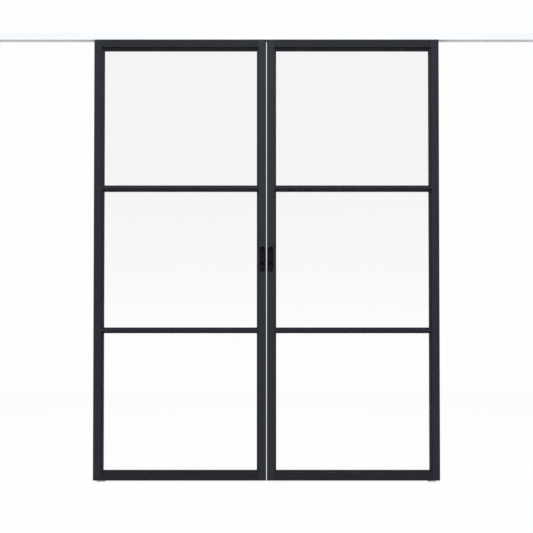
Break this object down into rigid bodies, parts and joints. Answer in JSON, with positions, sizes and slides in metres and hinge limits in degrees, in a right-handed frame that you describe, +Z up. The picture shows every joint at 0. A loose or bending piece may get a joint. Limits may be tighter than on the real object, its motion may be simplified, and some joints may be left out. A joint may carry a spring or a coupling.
{
  "type": "double pocket door",
  "caption": "Biparting pocket door: slim dark metal leaves with clear glass over stacked lites, flush pulls with hook locks, hung from a head track and guided at the floor.",
  "frame": {"origin": "on the finished floor, under the middle of the closed pair, in the mid-plane of the leaves", "axes": "+Z up, +X along the track towards the right leaf, front face towards -Y"},
  "size_m": [3.1226, 0.0424, 2.1555],
  "materials": {
    "frame_paint": "fine-textured anthracite powder coat",
    "clear_glass": "clear toughened glass",
    "black_rubber": "matte",
    "plain_steel": "zinc-plated",
    "black_metal": "satin black",
    "black_plastic": "matte",
    "zinc_casting": "as cast",
    "white_nylon": "smooth",
    "white_paint": "smooth white powder coat"
  },
  "bodies": {
    "track": {"head_track": "white_paint", "track_stops": "white_paint", "stop_buffers": "black_rubber", "floor_guides": "white_nylon"},
    "left_leaf": {"left_outer_stile": "frame_paint", "left_meeting_stile": "frame_paint", "left_top_rail": "frame_paint", "left_bottom_rail": "frame_paint", "left_upper_glazing_bar": "frame_paint", "left_lower_glazing_bar": "frame_paint", "left_upper_pane": "clear_glass", "left_middle_pane": "clear_glass", "left_lower_pane": "clear_glass", "left_glazing_beads": "frame_paint", "left_glazing_seals": "black_rubber", "left_setting_blocks": "black_rubber", "left_frame_screws": "plain_steel", "left_hole_plugs": "black_plastic", "left_stile_plugs": "black_plastic", "left_front_pull": "black_metal", "left_rear_pull": "black_metal", "left_lock_case": "black_metal", "left_edge_plate": "black_metal", "left_lock_screws": "black_metal", "left_hanger_plates": "plain_steel", "left_hanger_bolts": "plain_steel", "left_hangers": "zinc_casting"},
    "left_latch": {"left_thumb_slides": "black_metal", "left_latch_bar": "plain_steel"},
    "left_hook": {"left_hook_bolt": "plain_steel"},
    "left_inner_wheels": {"left_inner_wheels": "white_nylon"},
    "left_outer_wheels": {"left_outer_wheels": "white_nylon"},
    "right_leaf": {"right_outer_stile": "frame_paint", "right_meeting_stile": "frame_paint", "right_top_rail": "frame_paint", "right_bottom_rail": "frame_paint", "right_upper_glazing_bar": "frame_paint", "right_lower_glazing_bar": "frame_paint", "right_upper_pane": "clear_glass", "right_middle_pane": "clear_glass", "right_lower_pane": "clear_glass", "right_glazing_beads": "frame_paint", "right_glazing_seals": "black_rubber", "right_setting_blocks": "black_rubber", "right_frame_screws": "plain_steel", "right_hole_plugs": "black_plastic", "right_stile_plugs": "black_plastic", "right_front_pull": "black_metal", "right_rear_pull": "black_metal", "right_lock_case": "black_metal", "right_edge_plate": "black_metal", "right_lock_screws": "black_metal", "right_hanger_plates": "plain_steel", "right_hanger_bolts": "plain_steel", "right_hangers": "zinc_casting"},
    "right_latch": {"right_thumb_slides": "black_metal", "right_latch_bar": "plain_steel"},
    "right_hook": {"right_hook_bolt": "plain_steel"},
    "right_inner_wheels": {"right_inner_wheels": "white_nylon"},
    "right_outer_wheels": {"right_outer_wheels": "white_nylon"}
  },
  "joints": [
    {"name": "left_leaf_slide", "type": "slide", "parent": "track", "child": "left_leaf", "axis": [-1, 0, 0], "range_m": [0, 0.75]},
    {"name": "left_latch_slide", "type": "slide", "parent": "left_leaf", "child": "left_latch", "axis": [0, 0, 1], "range_m": [0, 0.0086]},
    {"name": "left_hook_swing", "type": "hinge", "parent": "left_leaf", "child": "left_hook", "pos_m": [-0.0135, 0, 1.078], "axis": [0, 1, 0], "range_deg": [0, 90]},
    {"name": "left_inner_wheel_spin", "type": "hinge", "parent": "left_leaf", "child": "left_inner_wheels", "pos_m": [-0.0765, 0, 2.1393], "axis": [0, -1, 0], "continuous": true},
    {"name": "left_outer_wheel_spin", "type": "hinge", "parent": "left_leaf", "child": "left_outer_wheels", "pos_m": [-0.753, 0, 2.1393], "axis": [0, -1, 0], "continuous": true},
    {"name": "right_leaf_slide", "type": "slide", "parent": "track", "child": "right_leaf", "axis": [1, 0, 0], "range_m": [0, 0.75]},
    {"name": "right_latch_slide", "type": "slide", "parent": "right_leaf", "child": "right_latch", "axis": [0, 0, 1], "range_m": [0, 0.0086]},
    {"name": "right_hook_swing", "type": "hinge", "parent": "right_leaf", "child": "right_hook", "pos_m": [0.0135, 0, 1.13], "axis": [0, -1, 0], "range_deg": [0, 90]},
    {"name": "right_inner_wheel_spin", "type": "hinge", "parent": "right_leaf", "child": "right_inner_wheels", "pos_m": [0.0765, 0, 2.1393], "axis": [0, 1, 0], "continuous": true},
    {"name": "right_outer_wheel_spin", "type": "hinge", "parent": "right_leaf", "child": "right_outer_wheels", "pos_m": [0.753, 0, 2.1393], "axis": [0, 1, 0], "continuous": true}
  ],
  "couplings": [
    {"joint": "left_hook_swing", "follows": "left_latch_slide", "rad_per_m": 182.65},
    {"joint": "left_inner_wheel_spin", "follows": "left_leaf_slide", "rad_per_m": 90.909},
    {"joint": "left_outer_wheel_spin", "follows": "left_leaf_slide", "rad_per_m": 90.909},
    {"joint": "right_hook_swing", "follows": "right_latch_slide", "rad_per_m": 182.65},
    {"joint": "right_inner_wheel_spin", "follows": "right_leaf_slide", "rad_per_m": 90.909},
    {"joint": "right_outer_wheel_spin", "follows": "right_leaf_slide", "rad_per_m": 90.909}
  ]
}
